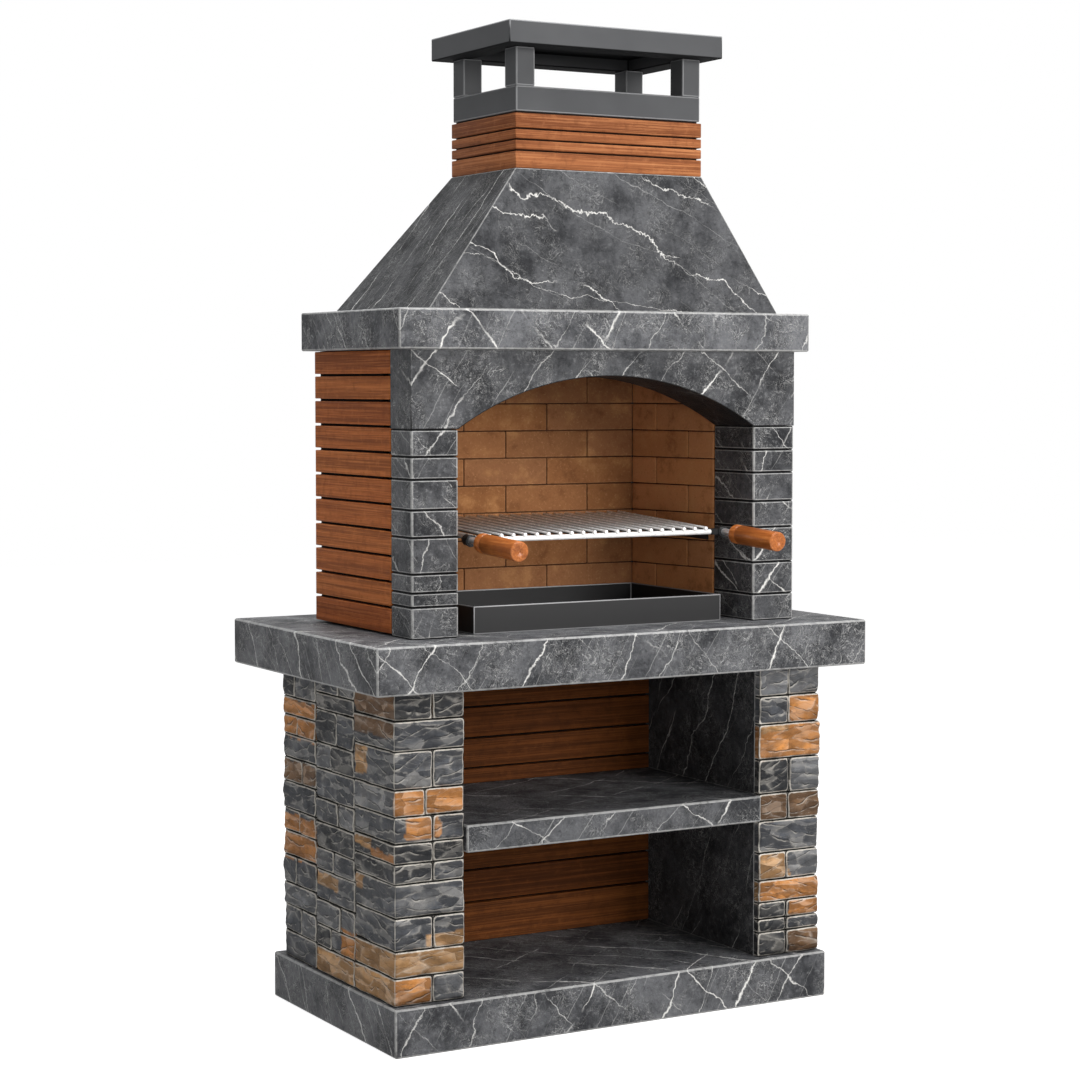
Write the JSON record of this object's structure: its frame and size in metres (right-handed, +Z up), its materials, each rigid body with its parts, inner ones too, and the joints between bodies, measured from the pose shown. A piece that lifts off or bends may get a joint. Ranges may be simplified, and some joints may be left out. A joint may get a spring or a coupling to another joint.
{
  "type": "stone garden barbecue",
  "caption": "Freestanding stone garden barbecue with an arched brick firebox, pull-out grate and charcoal tray, hood and chimney over a shelved base of ledgestone pillars.",
  "frame": {"origin": "middle of the plinth's underside, on the ground", "axes": "+Z up, -Y towards the cook, +X to the cook's right"},
  "size_m": [1.279, 0.8417, 2.2424],
  "materials": {
    "dark_stone": "matte",
    "ledgestone": "matte",
    "cast_concrete": "matte",
    "timber_cladding": "satin",
    "varnished_wood": "gloss",
    "firebrick": "matte",
    "black_steel": "satin",
    "stainless_steel": "satin",
    "chromed_steel": "polished",
    "anthracite_metal": "satin"
  },
  "bodies": {
    "barbecue": {"arch_lintel": "dark_stone", "base_plinth": "dark_stone", "cap_post_left_back": "anthracite_metal", "cap_post_left_front": "anthracite_metal", "cap_post_right_back": "anthracite_metal", "cap_post_right_front": "anthracite_metal", "chimney_band_1": "timber_cladding", "chimney_band_2": "timber_cladding", "chimney_band_3": "timber_cladding", "chimney_band_4": "timber_cladding", "chimney_cap": "anthracite_metal", "chimney_collar": "anthracite_metal", "chimney_flue": "cast_concrete", "firebox_core": "cast_concrete", "firebrick_back": "firebrick", "firebrick_left": "firebrick", "firebrick_right": "firebrick", "hood_back": "dark_stone", "hood_front": "dark_stone", "hood_left": "dark_stone", "hood_right": "dark_stone", "left_grate_runner": "black_steel", "left_inner_panel": "dark_stone", "left_ledgestone": "ledgestone", "left_pier_block_1": "dark_stone", "left_pier_block_2": "dark_stone", "left_pier_block_3": "dark_stone", "left_pier_block_4": "dark_stone", "left_pier_block_5": "dark_stone", "left_pier_block_6": "dark_stone", "left_pier_block_7": "dark_stone", "left_pier_block_8": "dark_stone", "left_pillar_core": "cast_concrete", "left_slat_cladding": "timber_cladding", "lower_back_boards": "timber_cladding", "mantel_slab": "dark_stone", "mid_shelf": "dark_stone", "right_grate_runner": "black_steel", "right_inner_panel": "dark_stone", "right_ledgestone": "ledgestone", "right_pier_block_1": "dark_stone", "right_pier_block_2": "dark_stone", "right_pier_block_3": "dark_stone", "right_pier_block_4": "dark_stone", "right_pier_block_5": "dark_stone", "right_pier_block_6": "dark_stone", "right_pier_block_7": "dark_stone", "right_pillar_core": "cast_concrete", "right_slat_cladding": "timber_cladding", "upper_back_boards": "timber_cladding", "worktop": "dark_stone"},
    "grate": {"cooking_grate": "stainless_steel", "left_handle_socket": "black_steel", "left_handle_rod": "chromed_steel", "left_grip": "varnished_wood", "right_handle_socket": "black_steel", "right_handle_rod": "chromed_steel", "right_grip": "varnished_wood"},
    "tray": {"charcoal_tray": "black_steel"}
  },
  "joints": [
    {"name": "grate_slide", "type": "slide", "parent": "barbecue", "child": "grate", "axis": [0, -0.9986, -0.0523], "range_m": [0, 0.22]},
    {"name": "tray_slide", "type": "slide", "parent": "barbecue", "child": "tray", "axis": [0, -1, 0], "range_m": [0, 0.25]}
  ]
}
